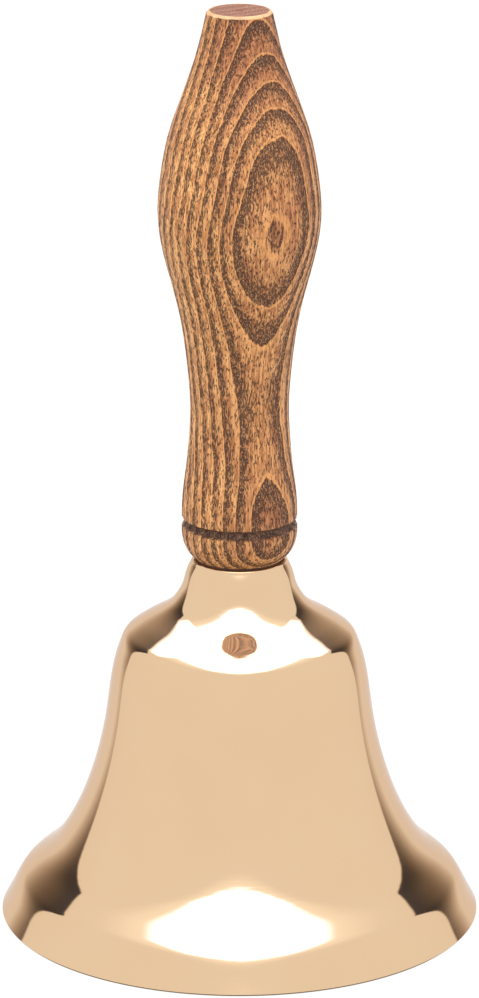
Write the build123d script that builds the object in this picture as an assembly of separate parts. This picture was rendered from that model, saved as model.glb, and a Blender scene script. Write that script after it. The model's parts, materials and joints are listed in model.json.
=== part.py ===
from build123d import *

import os

# Service bell: a polished brass hand bell on a turned ash handle, with a clapper on a swivelling yoke.
# Frame: the origin is the centre of the mouth's rim plane, +Z runs up through the handle, millimetres.
# The bell stands on its rim. One bolt, from inside the crown into an insert in the handle, holds it all.

# Bell shell: the outer surface as (radius, height), from the lip up to the flat crown
WALL = 2.0
CROWN_TOP = 69.5
CROWN_THICKNESS = 3.0
CROWN_HOLE_RADIUS = 2.75
BELL_OUTLINE = [
    (45.0, 0.3),
    (43.35, 3.4),
    (41.75, 6.3),
    (41.1, 7.15),
    (40.2, 8.0),
    (38.75, 9.25),
    (36.75, 11.0),
    (34.6, 13.4),
    (33.05, 15.7),
    (30.75, 20.0),
    (28.2, 26.4),
    (24.9, 40.4),
    (23.1, 50.8),
    (22.35, 53.0),
    (21.5, 54.7),
    (20.1, 55.85),
    (18.2, 57.1),
    (16.0, 58.4),
    (14.3, 59.5),
    (13.0, 60.6),
    (11.65, 62.4),
    (10.65, 64.4),
    (10.1, 66.4),
    (9.55, 67.9),
    (8.9, 69.2),
]
CROWN_ROUND_MIDDLE = (8.8, 69.4)
CROWN_ROUND_END = (8.6, CROWN_TOP)
RIM_RADIUS = 44.8
RIM_INNER_RADIUS = 43.5

# Inner surface: stations along the outer line, as fractions of its length, moved in by the wall
INNER_FIRST = 0.025
INNER_LAST = 0.96
INNER_STATIONS = 36

# Handle: foot, burnt groove, grip and top, as (radius, height)
FOOT_WASHER_THICKNESS = 0.4
FOOT_WASHER_RADIUS = 8.2
FOOT_Z = CROWN_TOP + FOOT_WASHER_THICKNESS
FOOT_RADIUS = 10.75
FOOT_OUTLINE = [
    (8.4, FOOT_Z),
    (9.7, 71.3),
    (10.45, 73.0),
    (FOOT_RADIUS, 74.8),
]
GROOVE_Z = 76.9
GROOVE_HALF_WIDTH = 0.9
GROOVE_DEPTH = 0.75
GRIP_OUTLINE = [
    (10.62, 81.4),
    (9.9, 87.4),
    (9.32, 93.9),
    (9.13, 98.4),
    (9.62, 106.4),
    (11.04, 116.4),
    (13.55, 126.4),
    (14.98, 135.4),
    (14.55, 141.9),
    (12.95, 150.4),
    (8.8, 162.4),
    (7.07, 168.4),
]
TOP_Z = 173.3
TOP_RADIUS = 6.05
TOP_CHAMFER = 0.4
TOP_TANGENT = (-0.18, 1.0)
CENTRE_MARK_RADIUS = 0.8
CENTRE_MARK_DEPTH = 0.7
PILOT_RADIUS = 2.75
PILOT_END_Z = 87.4

# Threaded insert in the handle's foot
INSERT_LENGTH = 14.0
INSERT_CORE_RADIUS = 4.0
INSERT_CREST_RADIUS = 5.0
INSERT_RIDGES = 5
RIDGE_PITCH = 2.5
RIDGE_HALF_WIDTH = 0.75
INSERT_SLOT_WIDTH = 1.4
INSERT_SLOT_DEPTH = 1.5

# M5 bolt, nut and washers under the crown
BOLT_RADIUS = 2.5
BOLT_LENGTH = 25.0
BOLT_TIP_CHAMFER = 0.6
THREAD_GAP = 0.02
M5_FLATS = 8.0
M5_HEAD_HEIGHT = 3.5
M5_NUT_HEIGHT = 2.7
HEX_CHAMFER_ACROSS = 0.5
HEX_CHAMFER_UP = 0.3
FLAT_WASHER_RADIUS = 5.0
FLAT_WASHER_BORE = 2.65
FLAT_WASHER_THICKNESS = 1.0
SPRING_WASHER_RADIUS = 4.6
SPRING_WASHER_BORE = 2.6
SPRING_WASHER_THICKNESS = 1.2
SPRING_SPLIT_WIDTH = 0.5
SPRING_SPLIT_SLANT = 30.0

# Yoke: a bent strap that turns freely on the bolt between the nut and the bolt's head
YOKE_END_PLAY = 0.15
YOKE_THICKNESS = 1.5
YOKE_WIDTH = 8.0
YOKE_INNER_HALF = 5.0
YOKE_BEND_RADIUS = 2.0
YOKE_BORE = BOLT_RADIUS + 0.08
HEAD_TO_HUB = 0.6

# Clevis pin through the yoke, its clip, and the washers beside the clapper's hub
PIN_RADIUS = 1.5
PIN_BORE = PIN_RADIUS + 0.02
PIN_HEAD_RADIUS = 2.6
PIN_HEAD_THICKNESS = 1.1
PIN_TAIL = 1.5
PIN_END_PLAY = 0.1
CLIP_THICKNESS = 0.6
CLIP_RADIUS = 3.0
CLIP_BAND_RADIUS = 2.2
CLIP_SEAT_RADIUS = 1.2
CLIP_SEAT_GAP = 0.05
CLIP_LUG_WIDTH = 1.0
CLIP_LUG_ANGLES = (0.0, 90.0, 180.0)
CLIP_MOUTH_WIDTH = 3.4
HUB_RADIUS = 3.2
HUB_HALF_LENGTH = 4.4
HUB_BORE = PIN_RADIUS + 0.06
HUB_WASHER_THICKNESS = 0.5
HUB_WASHER_GAP = 0.05

# Clapper rod, its lock nut and its ball
ROD_RADIUS = 1.5
ROD_NECK_RADIUS = 2.4
ROD_NECK_LENGTH = 7.0
BALL_RADIUS = 8.0
BALL_Z = 12.7
BALL_FLAT_RADIUS = 3.1
BALL_BORE_DEPTH = 10.0
ROD_END_GAP = 0.3
M3_FLATS = 5.5
M3_NUT_HEIGHT = 2.4

# Heights that follow from the stack under the crown
CROWN_UNDER = CROWN_TOP - CROWN_THICKNESS
FLAT_WASHER_Z = CROWN_UNDER - FLAT_WASHER_THICKNESS
SPRING_WASHER_Z = FLAT_WASHER_Z - SPRING_WASHER_THICKNESS
NUT_Z = SPRING_WASHER_Z - M5_NUT_HEIGHT
YOKE_TOP = NUT_Z - YOKE_END_PLAY
HEAD_TOP = YOKE_TOP - YOKE_THICKNESS - YOKE_END_PLAY
HEAD_Z = HEAD_TOP - M5_HEAD_HEIGHT
PIN_Z = HEAD_Z - HEAD_TO_HUB - HUB_RADIUS
BALL_FLAT_Z = BALL_Z + (BALL_RADIUS**2 - BALL_FLAT_RADIUS**2) ** 0.5

# Longer than any part here, for cuts that go right through
FAR = 100.0


def at(radius, z):
    """A point of a turned outline, which lies in the XZ plane."""
    return (radius, 0, z)


def turned(*edges):
    """The solid that a closed outline in the XZ plane sweeps about the Z axis."""
    return revolve(make_face(Curve() + list(edges)), Axis.Z)


def rod(radius, low, high):
    """A round bar on the Z axis, from one height to another."""
    return Pos(0, 0, low) * Cylinder(
        radius, high - low, align=(Align.CENTER, Align.CENTER, Align.MIN)
    )


def ring(outer, bore, low, high):
    """A flat ring on the Z axis, from one height to another."""
    return rod(outer, low, high) - rod(bore, low, high)


def on_pin(shape):
    """A shape made along Z about the origin, turned to lie along +Y on the pin's axis."""
    return Pos(0, 0, PIN_Z) * Rot(-90, 0, 0) * shape


def hexagon(flats, low, high):
    """A hexagon bar on the Z axis, with the corners of both ends turned off."""
    prism = Pos(0, 0, low) * extrude(RegularPolygon(flats / 2, 6, major_radius=False), high - low)
    corner = flats / 3**0.5
    outline = Polyline(
        at(0, low),
        at(corner - HEX_CHAMFER_ACROSS, low),
        at(corner, low + HEX_CHAMFER_UP),
        at(corner, high - HEX_CHAMFER_UP),
        at(corner - HEX_CHAMFER_ACROSS, high),
        at(0, high),
        close=True,
    )
    return prism & turned(*outline.edges())


def bell_outer():
    """The shell's outer line, from the lip up to where the crown rounds over."""
    return Spline(*[at(*point) for point in BELL_OUTLINE])


def bell_inner():
    """The shell's inner line: the outer one moved in by the wall."""
    outer = bell_outer()
    step = (INNER_LAST - INNER_FIRST) / (INNER_STATIONS - 1)
    points = []
    for i in range(INNER_STATIONS):
        along = INNER_FIRST + i * step
        place, heading = outer @ along, outer % along
        points.append(at(place.X - heading.Z * WALL, place.Z + heading.X * WALL))
    return Spline(*points)


def bell_shell():
    """The cast and polished shell, open at the mouth, with one hole in its crown."""
    outer, inner = bell_outer(), bell_inner()
    rim = Polyline(inner @ 0, at(RIM_INNER_RADIUS, 0), at(RIM_RADIUS, 0), outer @ 0)
    crown_round = ThreePointArc(outer @ 1, at(*CROWN_ROUND_MIDDLE), at(*CROWN_ROUND_END))
    neck = inner @ 1
    crown = Polyline(
        neck,
        at(neck.X, CROWN_UNDER),
        at(CROWN_HOLE_RADIUS, CROWN_UNDER),
        at(CROWN_HOLE_RADIUS, CROWN_TOP),
        crown_round @ 1,
    )
    return turned(outer, crown_round, inner, *rim.edges(), *crown.edges())


def foot_washer():
    """The leather washer between the crown and the handle's foot."""
    return ring(FOOT_WASHER_RADIUS, CROWN_HOLE_RADIUS, CROWN_TOP, FOOT_Z)


def handle_blank():
    """The turned outside of the handle, before its foot is bored."""
    foot_round = Spline(*[at(*point) for point in FOOT_OUTLINE])
    groove_low = at(FOOT_RADIUS, GROOVE_Z - GROOVE_HALF_WIDTH)
    groove_high = at(FOOT_RADIUS, GROOVE_Z + GROOVE_HALF_WIDTH)
    bead = Line(foot_round @ 1, groove_low)
    groove = ThreePointArc(groove_low, at(FOOT_RADIUS - GROOVE_DEPTH, GROOVE_Z), groove_high)
    top_edge = at(TOP_RADIUS, TOP_Z - TOP_CHAMFER)
    grip = Spline(
        groove_high,
        *[at(*point) for point in GRIP_OUTLINE],
        top_edge,
        tangents=[at(0, 1), at(*TOP_TANGENT)],
    )
    ends = Polyline(
        top_edge,
        at(TOP_RADIUS - TOP_CHAMFER, TOP_Z),
        at(CENTRE_MARK_RADIUS, TOP_Z),
        at(0, TOP_Z - CENTRE_MARK_DEPTH),
        at(0, FOOT_Z),
        foot_round @ 0,
    )
    return turned(foot_round, bead, groove, grip, *ends.edges())


def insert_blank():
    """The insert's outside: a core with a ridge for each turn of its coarse wood thread."""
    top = FOOT_Z + INSERT_LENGTH
    points = [at(0, FOOT_Z), at(INSERT_CORE_RADIUS, FOOT_Z)]
    first = FOOT_Z + INSERT_LENGTH / 2 - RIDGE_PITCH * (INSERT_RIDGES - 1) / 2
    for i in range(INSERT_RIDGES):
        crest = first + i * RIDGE_PITCH
        points.append(at(INSERT_CORE_RADIUS, crest - RIDGE_HALF_WIDTH))
        points.append(at(INSERT_CREST_RADIUS, crest))
        points.append(at(INSERT_CORE_RADIUS, crest + RIDGE_HALF_WIDTH))
    points += [at(INSERT_CORE_RADIUS, top), at(0, top)]
    return turned(*Polyline(*points, close=True).edges())


def handle():
    """The ash handle, bored for the insert and drilled on for the bolt's end."""
    return handle_blank() - insert_blank() - rod(PILOT_RADIUS, FOOT_Z, PILOT_END_Z)


def handle_insert():
    """The brass insert, with its bore and the slot it is driven by."""
    bore = rod(BOLT_RADIUS + THREAD_GAP, FOOT_Z, FOOT_Z + INSERT_LENGTH)
    slot = Pos(0, 0, FOOT_Z) * Box(
        2 * INSERT_CREST_RADIUS, INSERT_SLOT_WIDTH, 2 * INSERT_SLOT_DEPTH
    )
    return insert_blank() - bore - slot


def flat_washer():
    """The flat washer against the underside of the crown."""
    return ring(FLAT_WASHER_RADIUS, FLAT_WASHER_BORE, FLAT_WASHER_Z, CROWN_UNDER)


def spring_washer():
    """The split washer, cut through at a slant on one side."""
    body = ring(SPRING_WASHER_RADIUS, SPRING_WASHER_BORE, SPRING_WASHER_Z, FLAT_WASHER_Z)
    middle = (SPRING_WASHER_Z + FLAT_WASHER_Z) / 2
    across = SPRING_WASHER_RADIUS - BOLT_RADIUS / 2
    split = Box(across, SPRING_SPLIT_WIDTH, 2 * M5_NUT_HEIGHT)
    place = Pos((SPRING_WASHER_RADIUS + BOLT_RADIUS) / 2, 0, middle)
    return body - place * Rot(SPRING_SPLIT_SLANT, 0, 0) * split


def clamp_nut():
    """The nut that clamps the crown up against the handle."""
    return hexagon(M5_FLATS, NUT_Z, SPRING_WASHER_Z) - rod(BOLT_RADIUS + THREAD_GAP, NUT_Z, SPRING_WASHER_Z)


def hanger_bolt():
    """The bolt that carries the yoke on its head and holds the shell to the handle."""
    tip = HEAD_TOP + BOLT_LENGTH
    outline = Polyline(
        at(0, HEAD_Z),
        at(BOLT_RADIUS, HEAD_Z),
        at(BOLT_RADIUS, tip - BOLT_TIP_CHAMFER),
        at(BOLT_RADIUS - BOLT_TIP_CHAMFER, tip),
        at(0, tip),
        close=True,
    )
    return turned(*outline.edges()) + hexagon(M5_FLATS, HEAD_Z, HEAD_TOP)


def yoke():
    """The strap bent into a U, hung on the bolt and bored across for the pin."""
    half = YOKE_INNER_HALF + YOKE_THICKNESS
    height = YOKE_TOP - PIN_Z
    strap = Pos(0, 0, PIN_Z + height / 2) * Box(YOKE_WIDTH, 2 * half, height)
    inner_height = height - YOKE_THICKNESS
    gap = Pos(0, 0, PIN_Z + inner_height / 2) * Box(YOKE_WIDTH, 2 * YOKE_INNER_HALF, inner_height)
    outer_bends = strap.edges().filter_by(Axis.X).group_by(Axis.Z)[-1]
    inner_bends = gap.edges().filter_by(Axis.X).group_by(Axis.Z)[-1]
    bent = fillet(outer_bends, YOKE_BEND_RADIUS) - fillet(inner_bends, YOKE_BEND_RADIUS - YOKE_THICKNESS)
    for end in (-half, YOKE_INNER_HALF):
        bent += on_pin(rod(YOKE_WIDTH / 2, end, end + YOKE_THICKNESS))
    return bent - rod(YOKE_BORE, PIN_Z, YOKE_TOP) - on_pin(rod(PIN_BORE, -FAR, FAR))


def clip_seat():
    """Where the clip sits along the pin: the near and the far side."""
    near = YOKE_INNER_HALF + YOKE_THICKNESS + PIN_END_PLAY
    return near, near + CLIP_THICKNESS


def yoke_pin():
    """The clevis pin, with a head at one end and a groove for the clip at the other."""
    head_face = -(YOKE_INNER_HALF + YOKE_THICKNESS + PIN_END_PLAY)
    near, far = clip_seat()
    pin = rod(PIN_HEAD_RADIUS, head_face - PIN_HEAD_THICKNESS, head_face)
    pin += rod(PIN_RADIUS, head_face, far + PIN_TAIL)
    groove = ring(PIN_HEAD_RADIUS, CLIP_SEAT_RADIUS, near - CLIP_SEAT_GAP, far + CLIP_SEAT_GAP)
    return on_pin(pin - groove)


def pin_clip():
    """The E-clip in the pin's groove, open on its lower side, with three lugs on the pin."""
    near, far = clip_seat()
    clip = ring(CLIP_RADIUS, CLIP_BAND_RADIUS, near, far)
    middle = (near + far) / 2
    reach = (CLIP_BAND_RADIUS + CLIP_RADIUS) / 2
    for angle in CLIP_LUG_ANGLES:
        lug = Pos(reach / 2, 0, middle) * Box(reach, CLIP_LUG_WIDTH, CLIP_THICKNESS)
        clip += Rot(0, 0, -angle) * lug
    mouth = Pos(0, CLIP_RADIUS, middle) * Box(CLIP_MOUTH_WIDTH, 2 * CLIP_RADIUS, CLIP_THICKNESS)
    keep = Pos(0, CLIP_LUG_WIDTH, 0) * mouth
    return on_pin(clip - keep - rod(CLIP_SEAT_RADIUS + THREAD_GAP, near, far))


def hub_washers():
    """The two thin washers on the pin, one each side of the clapper's hub."""
    near = HUB_HALF_LENGTH + HUB_WASHER_GAP
    washer = ring(HUB_RADIUS, PIN_BORE, near, near + HUB_WASHER_THICKNESS)
    return [on_pin(washer), Rot(0, 0, 180) * on_pin(washer)]


def clapper_rod():
    """The clapper's cross hub on the pin, tapering into the rod that carries the ball."""
    hub = on_pin(rod(HUB_RADIUS, -HUB_HALF_LENGTH, HUB_HALF_LENGTH))
    end = BALL_FLAT_Z - BALL_BORE_DEPTH + ROD_END_GAP
    neck_end = PIN_Z - HUB_RADIUS - ROD_NECK_LENGTH
    taper = Spline(
        at(ROD_NECK_RADIUS, PIN_Z - HUB_RADIUS),
        at(ROD_RADIUS, neck_end),
        tangents=[at(0, -1), at(0, -1)],
    )
    rest = Polyline(
        taper @ 1,
        at(ROD_RADIUS, end),
        at(0, end),
        at(0, PIN_Z),
        at(ROD_NECK_RADIUS, PIN_Z),
        taper @ 0,
    )
    return hub + turned(taper, *rest.edges()) - on_pin(rod(HUB_BORE, -FAR, FAR))


def clapper_lock_nut():
    """The nut that locks the rod in the ball."""
    top = BALL_FLAT_Z + M3_NUT_HEIGHT
    return hexagon(M3_FLATS, BALL_FLAT_Z, top) - rod(ROD_RADIUS + THREAD_GAP, BALL_FLAT_Z, top)


def clapper_ball():
    """The ball that strikes the shell, faced flat on top and bored for the rod."""
    ball = Pos(0, 0, BALL_Z) * Sphere(BALL_RADIUS)
    ball -= rod(BALL_RADIUS, BALL_FLAT_Z, BALL_Z + BALL_RADIUS)
    return ball - rod(ROD_RADIUS + THREAD_GAP, BALL_FLAT_Z - BALL_BORE_DEPTH, BALL_FLAT_Z)


NODES = {
    "bell_shell": bell_shell,
    "foot_washer": foot_washer,
    "handle": handle,
    "handle_insert": handle_insert,
    "flat_washer": flat_washer,
    "spring_washer": spring_washer,
    "clamp_nut": clamp_nut,
    "hanger_bolt": hanger_bolt,
    "yoke": yoke,
    "yoke_pin": yoke_pin,
    "pin_clip": pin_clip,
    "hub_washers": hub_washers,
    "clapper_rod": clapper_rod,
    "clapper_lock_nut": clapper_lock_nut,
    "clapper_ball": clapper_ball,
}

os.makedirs("parts", exist_ok=True)
for node, build in NODES.items():
    shape = build()
    if isinstance(shape, list):
        shape = Compound(children=shape)
    export_step(shape, f"parts/{node}.step")
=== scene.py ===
"""Service bell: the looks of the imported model, its studio and its camera, in the model's own frame."""

import json
from math import atan2, cos, exp, log, pi, radians, sin, sqrt

import bpy
import numpy as np
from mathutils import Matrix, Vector, noise

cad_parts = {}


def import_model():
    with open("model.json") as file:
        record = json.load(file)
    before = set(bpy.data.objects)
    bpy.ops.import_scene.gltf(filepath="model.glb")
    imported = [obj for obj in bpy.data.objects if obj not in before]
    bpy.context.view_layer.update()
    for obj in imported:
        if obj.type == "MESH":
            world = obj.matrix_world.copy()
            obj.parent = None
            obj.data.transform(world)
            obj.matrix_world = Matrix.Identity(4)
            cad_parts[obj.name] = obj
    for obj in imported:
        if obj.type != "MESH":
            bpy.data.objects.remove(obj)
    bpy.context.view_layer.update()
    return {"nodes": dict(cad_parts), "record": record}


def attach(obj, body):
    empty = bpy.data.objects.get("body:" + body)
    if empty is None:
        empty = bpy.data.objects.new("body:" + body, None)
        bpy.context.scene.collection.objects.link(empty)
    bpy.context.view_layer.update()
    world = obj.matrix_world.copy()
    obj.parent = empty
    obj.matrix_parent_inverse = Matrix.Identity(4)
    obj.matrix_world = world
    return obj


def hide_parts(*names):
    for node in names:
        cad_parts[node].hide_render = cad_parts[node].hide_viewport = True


MM = 0.001
WHITE = (1, 1, 1, 1)

# Shell, as in the CAD model, in mm: the outer surface as (radius, height), from the lip up to the crown
WALL = 2.0
CROWN_TOP = 69.5
CROWN_THICKNESS = 3.0
CROWN_HOLE_RADIUS = 2.75
BELL_OUTLINE = [
    (45.0, 0.3),
    (43.35, 3.4),
    (41.75, 6.3),
    (41.1, 7.15),
    (40.2, 8.0),
    (38.75, 9.25),
    (36.75, 11.0),
    (34.6, 13.4),
    (33.05, 15.7),
    (30.75, 20.0),
    (28.2, 26.4),
    (24.9, 40.4),
    (23.1, 50.8),
    (22.35, 53.0),
    (21.5, 54.7),
    (20.1, 55.85),
    (18.2, 57.1),
    (16.0, 58.4),
    (14.3, 59.5),
    (13.0, 60.6),
    (11.65, 62.4),
    (10.65, 64.4),
    (10.1, 66.4),
    (9.55, 67.9),
    (8.9, 69.2),
]
CROWN_ROUND = [(8.9, 69.2), (8.8, 69.4), (8.6, CROWN_TOP)]
CROWN_ROUND_STATIONS = 8
RIM_RADIUS = 44.8
RIM_INNER_RADIUS = 43.5
OUTER_STATIONS = 190
INNER_STATIONS = 70
INNER_START = 3
INNER_END_HEIGHT = 64.9
SHELL_SEGMENTS = 256
SHELL_SHARP_ANGLE = radians(40)

# Handle, as in the CAD model, in mm
FOOT_Z = 69.9
FOOT_RADIUS = 10.75
FOOT_OUTLINE = [
    (8.4, FOOT_Z),
    (9.7, 71.3),
    (10.45, 73.0),
    (FOOT_RADIUS, 74.8),
]
FOOT_STATIONS = 17
BEAD_STATIONS = 6
GROOVE_Z = 76.9
GROOVE_HALF_WIDTH = 0.9
GROOVE_DEPTH = 0.75
GROOVE_STATIONS = 11
GRIP_OUTLINE = [
    (10.75, 77.8),
    (10.62, 81.4),
    (9.9, 87.4),
    (9.32, 93.9),
    (9.13, 98.4),
    (9.62, 106.4),
    (11.04, 116.4),
    (13.55, 126.4),
    (14.98, 135.4),
    (14.55, 141.9),
    (12.95, 150.4),
    (8.8, 162.4),
    (7.07, 168.4),
    (6.05, 172.9),
]
TOP_Z = 173.3
TOP_CHAMFER = 0.4
TOP_RADIUS = 6.05
TOP_RING_RADII = (4.6, 3.4, 2.0)
CENTRE_MARK_RADIUS = 0.8
CENTRE_MARK_DEPTH = 0.7
BORE_RADIUS = 5.0
BORE_TOP = 83.9
PILOT_RADIUS = 2.75
PILOT_TOP = 87.4
HANDLE_SEGMENTS = 288
HANDLE_STATIONS = 300
HANDLE_SHARP_ANGLE = radians(35)

# Growth rings, in mm: the figure's centre, and how the layers bow and crowd
FIGURE_ANGLE = radians(29)
FIGURE_SWAY = radians(7)
SWAY_LENGTH = 14.0
FIGURE_Z = 139.4
FIRST_RING_DEPTH = 13.2
PITH_DISTANCE = 100.0
BOW_UP = 1.45
BOW_UP_LENGTH = 12.5
BOW_DOWN = 1.87
BOW_DOWN_LENGTH = 18.2
LEAN_START = 22.0
LEAN = 0.06
SADDLE_Z = 98.4
SADDLE_RISE = 0.45
SADDLE_LENGTH = 9.0
RING_STRETCH = 10.9
RING_SCALE = 8.7
HEART_SPACING = 1.66
WOBBLE = 0.3
WOBBLE_LENGTH = 9.0
RIPPLE = 0.1
RIPPLE_LENGTH = 2.6
FIBRE_STRETCH = 3.0

# Relief of the handle's surface, in mm: the pore bands, as parts of a ring, and the burnt groove
RELIEF_DEPTH = 0.13
PORES_OPEN_FROM = 0.35
PORES_OPEN_OVER = 0.35
PORES_CLOSE_BY = 0.96
PORES_CLOSE_OVER = 0.06
CHAR_DEPTH = 0.25
CHAR_LUMP_SIZE = 0.5
PLAIN_BORE_MARGIN = 1.0
PLAIN_END_MARGIN = 0.01

# Metals and leather: linear colours, (low, high) ranges, and noise scales per metre
BUFFED_COLOURS = ((0.78, 0.54, 0.32, 1), (0.8, 0.565, 0.345, 1))
BUFFED_TINT = (0.8, 0.68, 0.6, 1)
BUFFED_ROUGHNESS = (0.03, 0.06)
BUFFED_TONE_SCALE = 90.0
BUFFED_RIPPLE_SCALE = (90, 90, 1300)
BUFFED_RIPPLE_HEIGHT = 0.000007
LACQUER_WEIGHT = 0.5
LACQUER_ROUGHNESS = 0.32
LACQUER_IOR = 1.6
SATIN_COLOURS = ((0.62, 0.41, 0.2, 1), (0.5, 0.32, 0.15, 1))
SATIN_ROUGHNESS = (0.25, 0.4)
SATIN_PATCH_SCALE = 120.0
SATIN_PATCHES = (0.35, 0.7)
SATIN_RING_SCALE = (2, 2, 2600)
SATIN_RING_HEIGHT = 0.00003
TURNED_COLOURS = ((0.72, 0.48, 0.21, 1), (0.55, 0.34, 0.14, 1))
TURNED_ROUGHNESS = (0.14, 0.34)
TURNED_STAIN_SCALE = 260.0
TURNED_STAINS = (0.45, 0.75)
TURNED_RING_SCALE = (3, 3, 1500)
TURNED_RING_HEIGHT = 0.00001
ZINC_COLOURS = ((0.5, 0.52, 0.55, 1), (0.68, 0.68, 0.68, 1))
ZINC_SPOT_COLOUR = (0.36, 0.36, 0.36, 1)
ZINC_ROUGHNESS = (0.22, 0.42)
ZINC_SPANGLE_SCALE = 700.0
ZINC_SPANGLE_HEIGHT = 0.00002
ZINC_SPOT_SCALE = 1500.0
ZINC_SPOTS = (0.55, 0.7)
LEATHER_SCREEN_COLOURS = ((50, 30, 20), (84, 54, 36))
LEATHER_ROUGHNESS = (0.55, 0.75)
LEATHER_TONE_SCALE = 300.0
LEATHER_PEBBLE_SCALE = 1800.0
LEATHER_PEBBLE_HEIGHT = 0.00006

# Ash: noise scales per metre, and the noise values between which each part comes in
PORE_SCALE = (3800, 3800, 900)
SPECK_SCALE = (4600, 4600, 2200)
FIBRE_SCALE = (1700, 1700, 110)
PATCH_SCALE = (110, 110, 40)
GRAIN_NOISE_ROUGHNESS = 0.65
PATCH_NOISE_ROUGHNESS = 0.6
DARK_PORES = (0.56, 0.62)
PALE_SPECKS = (0.56, 0.66)
FIBRE_STREAKS = (0.36, 0.64)
BAND_PATCHES = (0.2, 0.6)
RED_PATCHES = (0.5, 0.8)
END_PORES = (0.4, 0.65)
CHAR_SPECKS = (0.45, 0.62)

# Ash: where each part of a growth ring comes in and goes out, from 0 to 1 across the ring
FIBRE_UNEVENNESS = 0.16
BAND_START = (0.25, 0.8)
BAND_END = (0.975, 0.945)
LINE_START = (0.955, 0.98)
LINE_END = (0.06, 0.02)
HEART_RING = (-1.02, -0.98)
HEART_BAND = 0.5

# Ash: how strong each part is, the (low, high) places in metres that change it, and screen colours
# Partly painted light: the left side lighter with fainter bands, the right darker and redder, partly the
# wood's own tone
SIDE_CHANGE = (-0.011, 0.001)
LEFT_BAND = 0.65
UPPER_END = (0.148, 0.166)
LOWER_REDNESS = 0.45
BAND_TINT = 0.7
BAND_DARKENS_PORES = 0.15
PORE_TINT = 0.85
SPECK_TINT = (0.15, 0.65)
LINE_TINT = 0.65
CHAR_TINT = 0.92
CHAR_EDGE = (0.00105, 0.0007)
CHAR_EDGE_SWAY = 0.0006
END_FACE = ((TOP_Z - 0.5) * MM, (TOP_Z - 0.35) * MM)
# Painted highlight: the pale band round the top face's edge, from where it starts to where it is full
END_EDGE_HIGHLIGHT = ((TOP_RADIUS - 0.75) * MM, (TOP_RADIUS - 0.45) * MM)
TAN_COLOURS = ((188, 122, 70), (236, 178, 114))
RED_COLOURS = ((134, 80, 50), (190, 126, 80))
BAND_COLOUR = (134, 82, 50)
PORE_COLOUR = (58, 37, 27)
SPECK_COLOUR = (206, 160, 118)
LINE_COLOUR = (226, 160, 96)
END_COLOURS = ((158, 104, 76), (104, 64, 48))
# Colour of the painted highlight round the top face's edge
END_EDGE_HIGHLIGHT_COLOUR = (232, 184, 138)
CHAR_COLOURS = ((58, 38, 30), (126, 92, 74))
WOOD_SHINE = 0.3
WOOD_ROUGHNESS = (0.42, 0.67)
WOOD_FIBRE_RELIEF = 0.6
WOOD_BUMP_HEIGHT = 0.00018

# Camera: places and clips in metres, the lens and sensor in mm
CAMERA_DISTANCE = 0.952
CAMERA_HEIGHT = 0.381
CAMERA_PITCH = radians(17.5)
LENS = 194.0
SENSOR_WIDTH = 36.0
CLIP_START = 0.05
CLIP_END = 20.0

# Soft light: places in metres, and radiances
SOFTBOX_HEIGHT = 0.95
SOFTBOX_HALF_WIDTH = 0.78
SOFTBOX_FRONT_HALF_WIDTH = 0.42
SOFTBOX_WIDE_START = 0.2
SOFTBOX_WIDE_FULL = 0.4
SOFTBOX_BACK = 0.62
SOFTBOX_FRONT = -1.08
SOFTBOX_FRONT_BEND = 1.5
SOFTBOX_FRONT_POWER = 2.0
SOFTBOX_FEATHER = 0.16
SOFTBOX_HALO = 0.5
SOFTBOX_RADIANCE = 3.0
HALO_RADIANCE = 0.3
SOFTBOX_EDGE_COLOUR = (1.0, 0.98, 1.3, 1.0)
SOFTBOX_EDGE_GAIN = 4.0

# Room: radiances, and angles round from the front and up from level
ROOM_RADIANCE = 1.0
GAP_RADIANCE = 0.05
GAP_COLOUR = (1.0, 0.72, 0.48, 1.0)
GAP_START = radians(124)
GAP_EDGE = radians(2)
GAP_LEAN = 0.2
GAP_TOP = radians(36)
GAP_TOP_SLANT = 0.35
GAP_TOP_EDGE = radians(1.5)
GAP_LOW = radians(-12)
GAP_FULL = radians(22)
GAP_NARROW = radians(12)
GAP_WIDE = radians(48)
GAP_FAINT = 0.75
GAP_CURVE = 1.6
GAP_LINE_CURVE = 0.6
UNDER_RADIANCE = 0.25
UNDER_START = radians(-32)
UNDER_FULL = radians(-45)

# Floor: sizes in metres, its two greys and its glow
FLOOR_HALF = 3.0
FLOOR_DROP = 0.00005
FLOOR_COLOURS = ((0.14, 0.14, 0.14, 1), (0.1414, 0.1414, 0.1414, 1))
FLOOR_TONE_SCALE = 8.0
FLOOR_ROUGHNESS = 0.9
FLOOR_GLOW = 0.84


# ---------------------------------------------------------------- outlines and meshes


def smooth_line(points, count):
    """Points evenly spaced along the natural cubic spline through the given points."""
    knots = np.array(points, float)
    steps = np.linalg.norm(np.diff(knots, axis=0), axis=1)
    at = np.concatenate([[0.0], np.cumsum(steps)])
    size = len(at)
    system = np.zeros((size, size))
    target = np.zeros((size, 2))
    system[0, 0] = system[-1, -1] = 1.0
    for i in range(1, size - 1):
        before, after = steps[i - 1], steps[i]
        system[i, i - 1 : i + 2] = before, 2 * (before + after), after
        target[i] = 6 * ((knots[i + 1] - knots[i]) / after - (knots[i] - knots[i - 1]) / before)
    # The curve's second derivative at each knot, then the cubic of each span from it
    bend = np.linalg.solve(system, target)
    where = np.linspace(0, at[-1], count)
    span = np.clip(np.searchsorted(at, where, side="right") - 1, 0, size - 2)
    step = steps[span][:, None]
    ahead = (at[span + 1] - where)[:, None] / step
    behind = 1 - ahead
    curve = ahead * knots[span] + behind * knots[span + 1]
    curve += ((ahead**3 - ahead) * bend[span] + (behind**3 - behind) * bend[span + 1]) * step**2 / 6
    return curve


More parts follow.
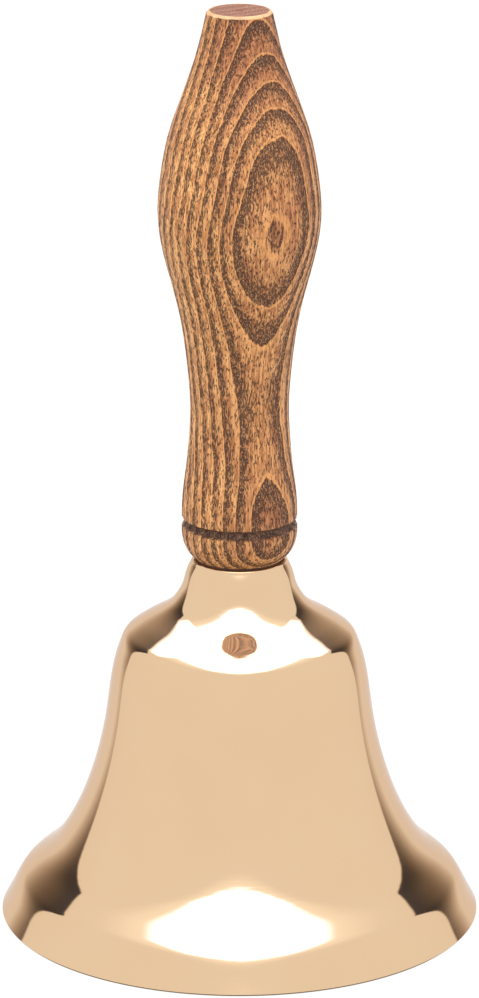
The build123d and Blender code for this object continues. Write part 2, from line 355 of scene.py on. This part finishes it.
def arc_through(start, middle, end, count):
    """Points along the circular arc through three points."""
    ax, ay = start
    bx, by = middle
    cx, cy = end
    a_square = ax**2 + ay**2
    b_square = bx**2 + by**2
    c_square = cx**2 + cy**2
    scale = 2 * (ax * (by - cy) + bx * (cy - ay) + cx * (ay - by))
    centre_x = (a_square * (by - cy) + b_square * (cy - ay) + c_square * (ay - by)) / scale
    centre_y = (a_square * (cx - bx) + b_square * (ax - cx) + c_square * (bx - ax)) / scale
    first = atan2(ay - centre_y, ax - centre_x)
    sweep = (atan2(cy - centre_y, cx - centre_x) - first + pi) % (2 * pi) - pi
    radius = sqrt((ax - centre_x) ** 2 + (ay - centre_y) ** 2)
    angles = [first + sweep * i / (count - 1) for i in range(count)]
    return np.array([(centre_x + radius * cos(a), centre_y + radius * sin(a)) for a in angles])


def moved_in(line, distance):
    """The line moved to its inner side by a distance."""
    heading = np.gradient(line, axis=0)
    heading /= np.linalg.norm(heading, axis=1)[:, None]
    return line + distance * np.stack([-heading[:, 1], heading[:, 0]], axis=1)


def add_mesh(name, verts, faces):
    """A new mesh object in the scene."""
    mesh = bpy.data.meshes.new(name)
    mesh.from_pydata(verts, [], faces)
    piece = bpy.data.objects.new(name, mesh)
    bpy.context.scene.collection.objects.link(piece)
    return piece


def lathe(name, outline, segments):
    """A turned mesh from a closed outline of (radius, height) in mm, or an open one that ends on the axis."""
    closed = outline[0][0] > 0
    rings = []
    verts = []
    for radius, height in outline:
        if radius <= 0:
            rings.append([len(verts)])
            verts.append((0, 0, height * MM))
            continue
        rings.append(list(range(len(verts), len(verts) + segments)))
        for i in range(segments):
            angle = 2 * pi * i / segments
            verts.append((radius * MM * cos(angle), radius * MM * sin(angle), height * MM))
    next_rings = rings[1:]
    if closed:
        next_rings.append(rings[0])
    faces = []
    for low, high in zip(rings, next_rings):
        for i in range(segments):
            j = (i + 1) % segments
            if len(low) == 1:
                faces.append((low[0], high[j], high[i]))
            elif len(high) == 1:
                faces.append((low[i], low[j], high[0]))
            else:
                faces.append((low[i], low[j], high[j], high[i]))
    piece = add_mesh(name, verts, faces)
    piece.data.validate()
    piece.data.shade_smooth()
    return piece


# ---------------------------------------------------------------- node helpers

# The Mix node's colour sockets, by number because its other kinds of socket have the same names
MIX_FACTOR = 0
MIX_FIRST = 6
MIX_SECOND = 7
MIX_RESULT = 2


class Nodes:
    """Short calls for building a node tree."""

    def __init__(self, tree):
        self.tree = tree
        tree.nodes.clear()

    def add(self, kind, **inputs):
        """A node with its inputs set or linked; an underscore in a name stands for a space."""
        node = self.tree.nodes.new(kind)
        for key, value in inputs.items():
            self.join(node.inputs[key.replace("_", " ")], value)
        return node

    def join(self, socket, value):
        """Links a socket, or sets its value."""
        if isinstance(value, bpy.types.NodeSocket):
            self.tree.links.new(value, socket)
        else:
            socket.default_value = value

    def math(self, operation, first, second=0.0, third=0.0, clamp=False):
        """The result of a Math node."""
        node = self.tree.nodes.new("ShaderNodeMath")
        node.operation = operation
        node.use_clamp = clamp
        for socket, value in zip(node.inputs, (first, second, third)):
            self.join(socket, value)
        return node.outputs[0]

    def smooth(self, value, low, high):
        """0 up to low, 1 from high on, and a smooth step between; a fall where low is the larger one."""
        node = self.tree.nodes.new("ShaderNodeMapRange")
        node.interpolation_type = "SMOOTHSTEP"
        self.join(node.inputs["Value"], value)
        node.inputs["From Min"].default_value = low
        node.inputs["From Max"].default_value = high
        return node.outputs["Result"]

    def blend(self, factor, low, high):
        """A value from low, where the factor is 0, to high, where it is 1."""
        return self.math("MULTIPLY_ADD", factor, high - low, low)

    def product(self, *values):
        """The product of two values or more."""
        result = values[0]
        for value in values[1:]:
            result = self.math("MULTIPLY", result, value)
        return result

    def mix(self, factor, first, second):
        """A mix of two colours."""
        node = self.tree.nodes.new("ShaderNodeMix")
        node.data_type = "RGBA"
        self.join(node.inputs[MIX_FACTOR], factor)
        self.join(node.inputs[MIX_FIRST], first)
        self.join(node.inputs[MIX_SECOND], second)
        return node.outputs[MIX_RESULT]

    def tones(self, factor, screen_colours):
        """A mix of a pair of screen colours."""
        first, second = screen_colours
        return self.mix(factor, srgb(*first), srgb(*second))

    def noise(self, where, scale, detail=2.0, roughness=0.5):
        """The value of a Noise node."""
        node = self.add("ShaderNodeTexNoise", Vector=where, Scale=scale, Detail=detail, Roughness=roughness)
        return node.outputs[0]

    def stretched_noise(self, where, scales, detail=2.0, roughness=0.5):
        """The value of a Noise node whose scale differs along X, Y and Z."""
        stretched = self.add("ShaderNodeMapping", Vector=where, Scale=scales).outputs[0]
        return self.noise(stretched, 1.0, detail, roughness)

    def bump(self, height, distance):
        """A normal bent by a height, for relief of up to a distance."""
        return self.add("ShaderNodeBump", Height=height, Distance=distance).outputs[0]


def srgb(red, green, blue):
    """A linear colour with alpha from 0 to 255 screen values."""

    def linear(value):
        value /= 255
        return value / 12.92 if value <= 0.04045 else ((value + 0.055) / 1.055) ** 2.4

    return (linear(red), linear(green), linear(blue), 1.0)


def material(name):
    """A new material, its node helper, its shader and its object coordinates in metres."""
    made = bpy.data.materials.new(name)
    made.use_nodes = True
    nodes = Nodes(made.node_tree)
    shader = nodes.add("ShaderNodeBsdfPrincipled")
    output = nodes.add("ShaderNodeOutputMaterial")
    nodes.join(output.inputs["Surface"], shader.outputs[0])
    where = nodes.add("ShaderNodeTexCoord").outputs["Object"]
    return made, nodes, shader, where


def surface(nodes, shader, colour, roughness, normal):
    """Joins a colour, a roughness and a normal to a shader."""
    nodes.join(shader.inputs["Base Color"], colour)
    nodes.join(shader.inputs["Roughness"], roughness)
    nodes.join(shader.inputs["Normal"], normal)


# ---------------------------------------------------------------- materials


def polished_brass():
    """Buffed bell brass: a warm pale mirror with faint ripples left by the polishing wheel."""
    made, nodes, shader, where = material("polished_brass")
    ripples = nodes.stretched_noise(where, BUFFED_RIPPLE_SCALE)
    tone = nodes.noise(where, BUFFED_TONE_SCALE, detail=3.0)
    colour = nodes.mix(tone, *BUFFED_COLOURS)
    normal = nodes.bump(ripples, BUFFED_RIPPLE_HEIGHT)
    surface(nodes, shader, colour, nodes.blend(tone, *BUFFED_ROUGHNESS), normal)
    shader.inputs["Metallic"].default_value = 1.0
    shader.inputs["Specular Tint"].default_value = BUFFED_TINT
    shader.inputs["Coat Weight"].default_value = LACQUER_WEIGHT
    shader.inputs["Coat Roughness"].default_value = LACQUER_ROUGHNESS
    shader.inputs["Coat IOR"].default_value = LACQUER_IOR
    return made


def satin_brass():
    """The inside of the shell: turned but not buffed, with fine tool rings and dull patches."""
    made, nodes, shader, where = material("satin_brass")
    rings = nodes.stretched_noise(where, SATIN_RING_SCALE)
    patches = nodes.smooth(nodes.noise(where, SATIN_PATCH_SCALE, detail=4.0, roughness=0.6), *SATIN_PATCHES)
    colour = nodes.mix(patches, *SATIN_COLOURS)
    normal = nodes.bump(rings, SATIN_RING_HEIGHT)
    surface(nodes, shader, colour, nodes.blend(patches, *SATIN_ROUGHNESS), normal)
    shader.inputs["Metallic"].default_value = 1.0
    return made


def turned_brass():
    """Bright turned brass for the ball and the insert."""
    made, nodes, shader, where = material("turned_brass")
    rings = nodes.stretched_noise(where, TURNED_RING_SCALE)
    stain = nodes.smooth(nodes.noise(where, TURNED_STAIN_SCALE, detail=4.0, roughness=0.6), *TURNED_STAINS)
    colour = nodes.mix(stain, *TURNED_COLOURS)
    normal = nodes.bump(rings, TURNED_RING_HEIGHT)
    surface(nodes, shader, colour, nodes.blend(stain, *TURNED_ROUGHNESS), normal)
    shader.inputs["Metallic"].default_value = 1.0
    return made


def plated_steel():
    """Zinc-plated steel: a bluish grey with a faint spangle and small dull spots."""
    made, nodes, shader, where = material("plated_steel")
    spangle = nodes.noise(where, ZINC_SPANGLE_SCALE, detail=3.0)
    spots = nodes.smooth(nodes.noise(where, ZINC_SPOT_SCALE, detail=3.0, roughness=0.7), *ZINC_SPOTS)
    colour = nodes.mix(spots, nodes.mix(spangle, *ZINC_COLOURS), ZINC_SPOT_COLOUR)
    normal = nodes.bump(spangle, ZINC_SPANGLE_HEIGHT)
    surface(nodes, shader, colour, nodes.blend(spangle, *ZINC_ROUGHNESS), normal)
    shader.inputs["Metallic"].default_value = 1.0
    return made


def leather():
    """Dark vegetable-tanned leather with a fine pebble."""
    made, nodes, shader, where = material("leather")
    pebble = nodes.add("ShaderNodeTexVoronoi", Vector=where, Scale=LEATHER_PEBBLE_SCALE)
    tone = nodes.noise(where, LEATHER_TONE_SCALE, detail=3.0)
    colour = nodes.tones(tone, LEATHER_SCREEN_COLOURS)
    normal = nodes.bump(pebble.outputs["Distance"], LEATHER_PEBBLE_HEIGHT)
    surface(nodes, shader, colour, nodes.blend(tone, *LEATHER_ROUGHNESS), normal)
    return made


class AshFigure:
    """The parts of stained ash, each a value from 0 to 1 (a sway is round 0), and the place they are at."""

    def __init__(self, nodes, where):
        grain = GRAIN_NOISE_ROUGHNESS
        self.pores = nodes.stretched_noise(where, PORE_SCALE, detail=2.0, roughness=grain)
        self.specks = nodes.stretched_noise(where, SPECK_SCALE, detail=2.0, roughness=grain)
        self.fibres = nodes.stretched_noise(where, FIBRE_SCALE, detail=3.0, roughness=grain)
        self.patches = nodes.stretched_noise(where, PATCH_SCALE, detail=3.0, roughness=PATCH_NOISE_ROUGHNESS)
        self.fibre_sway = nodes.math("SUBTRACT", self.fibres, 0.5)
        self.place = nodes.add("ShaderNodeSeparateXYZ", Vector=where).outputs
        # Towards the right the wood turns darker and redder with stronger bands: partly its own tone, partly
        # painted light on the left side
        self.right_tone_and_shade = nodes.smooth(self.place["X"], *SIDE_CHANGE)

        ring = nodes.add("ShaderNodeAttribute")
        ring.attribute_name = "ring"
        uneven = nodes.math("MULTIPLY_ADD", self.fibre_sway, FIBRE_UNEVENNESS, ring.outputs["Fac"])
        phase = nodes.math("FRACT", uneven)
        self.band = nodes.product(
            nodes.smooth(phase, *BAND_START),
            nodes.smooth(phase, *BAND_END),
            nodes.blend(nodes.smooth(uneven, *HEART_RING), HEART_BAND, 1.0),
            nodes.blend(self.right_tone_and_shade, LEFT_BAND, 1.0),
        )
        line_start = nodes.smooth(phase, *LINE_START)
        self.line = nodes.math("ADD", line_start, nodes.smooth(phase, *LINE_END), clamp=True)
        dark_noise = nodes.math("MULTIPLY_ADD", self.band, BAND_DARKENS_PORES, self.pores)
        self.dark = nodes.smooth(dark_noise, *DARK_PORES)


def side_grain(nodes, figure):
    """The colour of the handle's turned side: darker and redder towards the right, most of all at the upper
    end, and lighter on the left, partly the wood's own tone and partly painted light on the left side.
    """
    streaks = nodes.smooth(figure.fibres, *FIBRE_STREAKS)
    upper = nodes.smooth(figure.place["Z"], *UPPER_END)
    # Darker and redder towards the right: partly the wood's own tone, partly painted light and shade across
    # the sides
    redness_and_shade = nodes.product(figure.right_tone_and_shade, nodes.blend(upper, LOWER_REDNESS, 1.0))
    redness_and_shade = nodes.math("ADD", redness_and_shade, nodes.smooth(figure.patches, *RED_PATCHES), clamp=True)
    wood = nodes.mix(redness_and_shade, nodes.tones(streaks, TAN_COLOURS), nodes.tones(streaks, RED_COLOURS))
    strength = nodes.product(figure.band, nodes.smooth(figure.patches, *BAND_PATCHES), BAND_TINT)
    colour = nodes.mix(strength, wood, srgb(*BAND_COLOUR))
    colour = nodes.mix(nodes.product(figure.dark, PORE_TINT), colour, srgb(*PORE_COLOUR))
    pale = nodes.product(nodes.smooth(figure.specks, *PALE_SPECKS), nodes.blend(figure.band, *SPECK_TINT))
    colour = nodes.mix(pale, colour, srgb(*SPECK_COLOUR))
    return nodes.mix(nodes.product(figure.line, LINE_TINT), colour, srgb(*LINE_COLOUR))


def with_end_grain(nodes, figure, colour):
    """The colour with porous end grain on the handle's top face, and a painted highlight: a pale band round
    its edge.
    """
    flat = nodes.add("ShaderNodeCombineXYZ", X=figure.place["X"], Y=figure.place["Y"])
    radius = nodes.add("ShaderNodeVectorMath", Vector=flat.outputs[0])
    radius.operation = "LENGTH"
    end_grain = nodes.tones(nodes.smooth(figure.pores, *END_PORES), END_COLOURS)
    # Painted highlight: the top face's outer edge and chamfer made pale, as if lit
    edge_highlight = nodes.smooth(radius.outputs["Value"], *END_EDGE_HIGHLIGHT)
    end_grain = nodes.mix(edge_highlight, end_grain, srgb(*END_EDGE_HIGHLIGHT_COLOUR))
    return nodes.mix(nodes.smooth(figure.place["Z"], *END_FACE), colour, end_grain)


def with_char(nodes, figure, colour):
    """The colour with the burnt groove, whose edges follow the fibres."""
    from_groove = nodes.math("ABSOLUTE", nodes.math("SUBTRACT", figure.place["Z"], GROOVE_Z * MM))
    uneven = nodes.math("MULTIPLY_ADD", figure.fibre_sway, CHAR_EDGE_SWAY, from_groove)
    charred = nodes.product(nodes.smooth(uneven, *CHAR_EDGE), CHAR_TINT)
    char = nodes.tones(nodes.smooth(figure.specks, *CHAR_SPECKS), CHAR_COLOURS)
    return nodes.mix(charred, colour, char)


def ash_wood():
    """Stained ash: each growth ring is a pale line, plain late wood, then a dark band of open pores."""
    made, nodes, shader, where = material("ash_wood")
    figure = AshFigure(nodes, where)
    colour = side_grain(nodes, figure)
    colour = with_end_grain(nodes, figure, colour)
    colour = with_char(nodes, figure, colour)
    fibre_relief = nodes.product(figure.fibres, WOOD_FIBRE_RELIEF)
    relief = nodes.math("SUBTRACT", fibre_relief, figure.dark)
    normal = nodes.bump(relief, WOOD_BUMP_HEIGHT)
    surface(nodes, shader, colour, nodes.blend(figure.dark, *WOOD_ROUGHNESS), normal)
    shader.inputs["Specular IOR Level"].default_value = WOOD_SHINE
    return made


# ---------------------------------------------------------------- the pieces


def inner_line(outer):
    """The shell's inner surface, thinned out, from near the lip up to under the crown."""
    inner = moved_in(outer, WALL)
    inner = inner[inner[:, 1] < INNER_END_HEIGHT][INNER_START:]
    stride = max(1, len(inner) // INNER_STATIONS)
    return inner[::stride]


def shell_piece():
    """The bell shell: buffed outside, satin inside."""
    outer = smooth_line(BELL_OUTLINE, OUTER_STATIONS)
    crown_round = arc_through(*CROWN_ROUND, CROWN_ROUND_STATIONS)[1:]
    inner = inner_line(outer)
    neck_radius = inner[-1][0]
    crown_under = CROWN_TOP - CROWN_THICKNESS
    crown = [
        (CROWN_HOLE_RADIUS, CROWN_TOP),
        (CROWN_HOLE_RADIUS, crown_under),
        (neck_radius, crown_under),
    ]
    rim = [(RIM_INNER_RADIUS, 0.0), (RIM_RADIUS, 0.0)]
    outline = [*outer, *crown_round, *crown, *inner[::-1], *rim]
    piece = lathe("bell_shell_turned", outline, SHELL_SEGMENTS)
    mesh = piece.data
    mesh.set_sharp_from_angle(angle=SHELL_SHARP_ANGLE)
    mesh.materials.append(polished_brass())
    mesh.materials.append(satin_brass())
    outside = (len(outer) + len(crown_round)) * SHELL_SEGMENTS
    for polygon in mesh.polygons:
        polygon.material_index = 0 if min(polygon.vertices) < outside else 1
    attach(piece, "bell_body")
    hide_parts("bell_shell")
    return piece


def ring_number(x, y, z):
    """How many growth rings a point in mm lies under the figure's first ring line."""
    above = z - FIGURE_Z
    angle = FIGURE_ANGLE + FIGURE_SWAY * sin(above / SWAY_LENGTH)
    towards = x * sin(angle) - y * cos(angle)
    across = x * cos(angle) + y * sin(angle)
    if above > 0:
        bow = BOW_UP * (1 - exp(-((above / BOW_UP_LENGTH) ** 2))) - LEAN * max(0.0, above - LEAN_START)
    else:
        bow = BOW_DOWN * (1 - exp(-((above / BOW_DOWN_LENGTH) ** 2)))
    bow += SADDLE_RISE * exp(-(((z - SADDLE_Z) / SADDLE_LENGTH) ** 2))
    along_fibres = Vector((x, y, z / FIBRE_STRETCH))
    wobble = WOBBLE * noise.noise(along_fibres / WOBBLE_LENGTH)
    wobble += RIPPLE * noise.noise(along_fibres / RIPPLE_LENGTH)
    depth = FIRST_RING_DEPTH - (towards + across**2 / (2 * PITH_DISTANCE) + bow + wobble)
    if depth < 0:
        return depth / HEART_SPACING
    return RING_SCALE * log(1 + depth / RING_STRETCH)


def porous(ring):
    """How open the wood is at a ring number, from 0 in the late wood to 1 in the pore band."""
    phase = ring % 1.0
    opening = min(1.0, max(0.0, (phase - PORES_OPEN_FROM) / PORES_OPEN_OVER))
    closing = min(1.0, max(0.0, (PORES_CLOSE_BY - phase) / PORES_CLOSE_OVER))
    return opening * closing


def handle_outline():
    """The handle's closed outline, from its bore round the outside to the top."""
    inside = [
        (0.0, PILOT_TOP),
        (PILOT_RADIUS, PILOT_TOP),
        (PILOT_RADIUS, BORE_TOP),
        (BORE_RADIUS, BORE_TOP),
        (BORE_RADIUS, FOOT_Z),
    ]
    foot = smooth_line(FOOT_OUTLINE, FOOT_STATIONS)
    foot_top = FOOT_OUTLINE[-1][1]
    groove_low = GROOVE_Z - GROOVE_HALF_WIDTH
    groove_high = GROOVE_Z + GROOVE_HALF_WIDTH
    bead = [(FOOT_RADIUS, z) for z in np.linspace(foot_top, groove_low, BEAD_STATIONS)[1:-1]]
    groove = arc_through(
        (FOOT_RADIUS, groove_low),
        (FOOT_RADIUS - GROOVE_DEPTH, GROOVE_Z),
        (FOOT_RADIUS, groove_high),
        GROOVE_STATIONS,
    )
    grip = smooth_line(GRIP_OUTLINE, HANDLE_STATIONS)[1:]
    top_radii = (TOP_RADIUS - TOP_CHAMFER, *TOP_RING_RADII, CENTRE_MARK_RADIUS)
    top = [(radius, TOP_Z) for radius in top_radii]
    centre_mark = (0.0, TOP_Z - CENTRE_MARK_DEPTH)
    return [*inside, *foot, *bead, *groove, *grip, *top, centre_mark]


def sunk_at(x, y, z, ring):
    """How far in mm the wood is sunk at a point in mm: in its pore bands and in the burnt groove."""
    in_groove = max(0.0, 1 - abs(z - GROOVE_Z) / GROOVE_HALF_WIDTH)
    lump = (1 + noise.noise(Vector((x, y, z)) / CHAR_LUMP_SIZE)) / 2
    return RELIEF_DEPTH * porous(ring) + CHAR_DEPTH * in_groove * lump


def handle_piece():
    """The ash handle, with its pore bands sunk into the surface and its burnt groove left rough."""
    piece = lathe("handle_turned", handle_outline(), HANDLE_SEGMENTS)
    mesh = piece.data
    rings = mesh.attributes.new("ring", "FLOAT", "POINT")
    for index, vertex in enumerate(mesh.vertices):
        x, y, z = (value / MM for value in vertex.co)
        ring = ring_number(x, y, z)
        rings.data[index].value = ring
        radius = sqrt(x * x + y * y)
        in_bore = radius < BORE_RADIUS + PLAIN_BORE_MARGIN
        on_end = z > TOP_Z - PLAIN_END_MARGIN or z < FOOT_Z + PLAIN_END_MARGIN
        if in_bore or on_end:
            continue
        shrink = (radius - sunk_at(x, y, z, ring)) / radius
        vertex.co.x *= shrink
        vertex.co.y *= shrink
    mesh.set_sharp_from_angle(angle=HANDLE_SHARP_ANGLE)
    mesh.materials.append(ash_wood())
    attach(piece, "bell_body")
    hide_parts("handle")
    return piece


def finish_cad_nodes(frame):
    """The carried-over CAD nodes get their materials."""
    finishes = {
        "plated_steel": plated_steel(),
        "turned_brass": turned_brass(),
        "leather": leather(),
    }
    for entry in frame["record"]["subparts"]:
        made = finishes.get(entry["material_slot"])
        if made is None:
            continue
        mesh = frame["nodes"][entry["node"]].data
        mesh.materials.clear()
        mesh.materials.append(made)


# ---------------------------------------------------------------- studio and camera


def flat_mesh(name, corners, height):
    """A flat polygon at a height, facing down or up as its corners turn."""
    verts = [(x, y, height) for x, y in corners]
    return add_mesh(name, verts, [tuple(range(len(verts)))])


def floor():
    """A plain pale floor."""
    half = FLOOR_HALF
    corners = [(-half, -half), (half, -half), (half, half), (-half, half)]
    piece = flat_mesh("floor", corners, -FLOOR_DROP)
    made, nodes, shader, where = material("floor")
    tone = nodes.noise(where, FLOOR_TONE_SCALE, detail=3.0)
    nodes.join(shader.inputs["Base Color"], nodes.mix(tone, *FLOOR_COLOURS))
    shader.inputs["Roughness"].default_value = FLOOR_ROUGHNESS
    shader.inputs["Specular IOR Level"].default_value = 0.0
    shader.inputs["Emission Color"].default_value = WHITE
    shader.inputs["Emission Strength"].default_value = FLOOR_GLOW
    piece.data.materials.append(made)
    piece.visible_glossy = False


def softbox_mask(nodes, place, feather, back_half_width):
    """1 inside a bowed outline that is wider at the back, and a smooth fall to 0 across a feather."""
    out = nodes.math("ABSOLUTE", place["X"])
    bowed = nodes.math("POWER", out, SOFTBOX_FRONT_POWER)
    front_edge = nodes.math("MULTIPLY_ADD", bowed, SOFTBOX_FRONT_BEND, SOFTBOX_FRONT)
    past_front = nodes.math("SUBTRACT", place["Y"], front_edge)
    widening = nodes.smooth(place["Y"], SOFTBOX_WIDE_START, SOFTBOX_WIDE_FULL)
    side_edge = nodes.blend(widening, SOFTBOX_FRONT_HALF_WIDTH, back_half_width)
    past_side = nodes.math("SUBTRACT", side_edge, out)
    return nodes.product(
        nodes.smooth(past_front, -feather, 0.0),
        nodes.smooth(past_side, -feather, 0.0),
        nodes.smooth(place["Y"], SOFTBOX_BACK + SOFTBOX_FEATHER, SOFTBOX_BACK),
    )


def softbox():
    """The big soft light overhead, with a bowed front, soft edges and a faint halo on the ceiling."""
    side = SOFTBOX_HALF_WIDTH + SOFTBOX_FEATHER
    front = SOFTBOX_FRONT - SOFTBOX_HALO
    back = SOFTBOX_BACK + SOFTBOX_FEATHER
    corners = [(-side, front), (-side, back), (side, back), (side, front)]
    piece = flat_mesh("softbox", corners, SOFTBOX_HEIGHT)
    made = bpy.data.materials.new("softbox")
    made.use_nodes = True
    nodes = Nodes(made.node_tree)
    where = nodes.add("ShaderNodeTexCoord").outputs["Object"]
    place = nodes.add("ShaderNodeSeparateXYZ", Vector=where).outputs
    sharp = softbox_mask(nodes, place, SOFTBOX_FEATHER, SOFTBOX_HALF_WIDTH)
    halo = softbox_mask(nodes, place, SOFTBOX_HALO, SOFTBOX_FRONT_HALF_WIDTH)
    level = nodes.blend(sharp, ROOM_RADIANCE, SOFTBOX_RADIANCE)
    level = nodes.math("MULTIPLY_ADD", halo, HALO_RADIANCE, level)
    # Inside times outside is a quarter in the middle of the feather, which the gain lifts to 1
    outside = nodes.math("SUBTRACT", 1.0, sharp)
    edge = nodes.product(sharp, outside, SOFTBOX_EDGE_GAIN)
    colour = nodes.mix(edge, WHITE, SOFTBOX_EDGE_COLOUR)
    glow = nodes.add("ShaderNodeEmission", Color=colour, Strength=level)
    output = nodes.add("ShaderNodeOutputMaterial")
    nodes.join(output.inputs["Surface"], glow.outputs[0])
    piece.data.materials.append(made)
    piece.visible_camera = False


def gap_shade(nodes, turn, rise):
    """How dark the gap is at an angle round from the front and up from level, from 0 to 1."""
    leaning = nodes.math("MULTIPLY_ADD", rise, GAP_LEAN, turn)
    starts = nodes.smooth(leaning, GAP_START, GAP_START + GAP_EDGE)
    past_start = nodes.math("SUBTRACT", turn, GAP_START)
    slanted = nodes.math("MULTIPLY_ADD", past_start, -GAP_TOP_SLANT, rise)
    below_top = nodes.smooth(slanted, GAP_TOP, GAP_TOP - GAP_TOP_EDGE)
    opened = nodes.smooth(rise, GAP_LOW, GAP_FULL)
    width = nodes.blend(opened, GAP_NARROW, GAP_WIDE)
    across = nodes.math("MAXIMUM", nodes.math("DIVIDE", past_start, width), 0.0)
    curve = nodes.blend(opened, GAP_LINE_CURVE, GAP_CURVE)
    fade = nodes.math("SUBTRACT", 1.0, nodes.math("POWER", across, curve), clamp=True)
    strength = nodes.blend(opened, GAP_FAINT, 1.0)
    return nodes.product(starts, below_top, fade, strength)


def room():
    """A white room, with a dim gap at each side between the side walls and the back wall."""
    world = bpy.data.worlds.new("room")
    bpy.context.scene.world = world
    world.use_nodes = True
    nodes = Nodes(world.node_tree)
    direction = nodes.add("ShaderNodeTexCoord").outputs["Generated"]
    parts = nodes.add("ShaderNodeSeparateXYZ", Vector=direction).outputs
    forward = nodes.math("MULTIPLY", parts["Y"], -1.0)
    turn = nodes.math("ARCTAN2", nodes.math("ABSOLUTE", parts["X"]), forward)
    rise = nodes.math("ARCSINE", parts["Z"])
    dark = gap_shade(nodes, turn, rise)
    level = nodes.blend(dark, ROOM_RADIANCE, GAP_RADIANCE)
    under = nodes.smooth(rise, UNDER_START, UNDER_FULL)
    level = nodes.product(level, nodes.blend(under, 1.0, UNDER_RADIANCE))
    colour = nodes.mix(dark, WHITE, GAP_COLOUR)
    back = nodes.add("ShaderNodeBackground", Color=colour, Strength=level)
    output = nodes.add("ShaderNodeOutputWorld")
    nodes.join(output.inputs["Surface"], back.outputs[0])


def camera():
    """The camera at the viewing angle."""
    data = bpy.data.cameras.new("camera")
    data.lens = LENS
    data.sensor_width = SENSOR_WIDTH
    data.clip_start = CLIP_START
    data.clip_end = CLIP_END
    piece = bpy.data.objects.new("camera", data)
    piece.location = (0, -CAMERA_DISTANCE, CAMERA_HEIGHT)
    piece.rotation_euler = (pi / 2 - CAMERA_PITCH, 0, 0)
    bpy.context.scene.collection.objects.link(piece)
    bpy.context.scene.camera = piece


def main():
    """Loads the frame, adds the looks, the studio and the camera."""
    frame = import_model()
    shell_piece()
    handle_piece()
    finish_cad_nodes(frame)
    floor()
    softbox()
    room()
    camera()
    bpy.context.scene.view_settings.view_transform = "Standard"
    bpy.context.view_layer.update()


main()
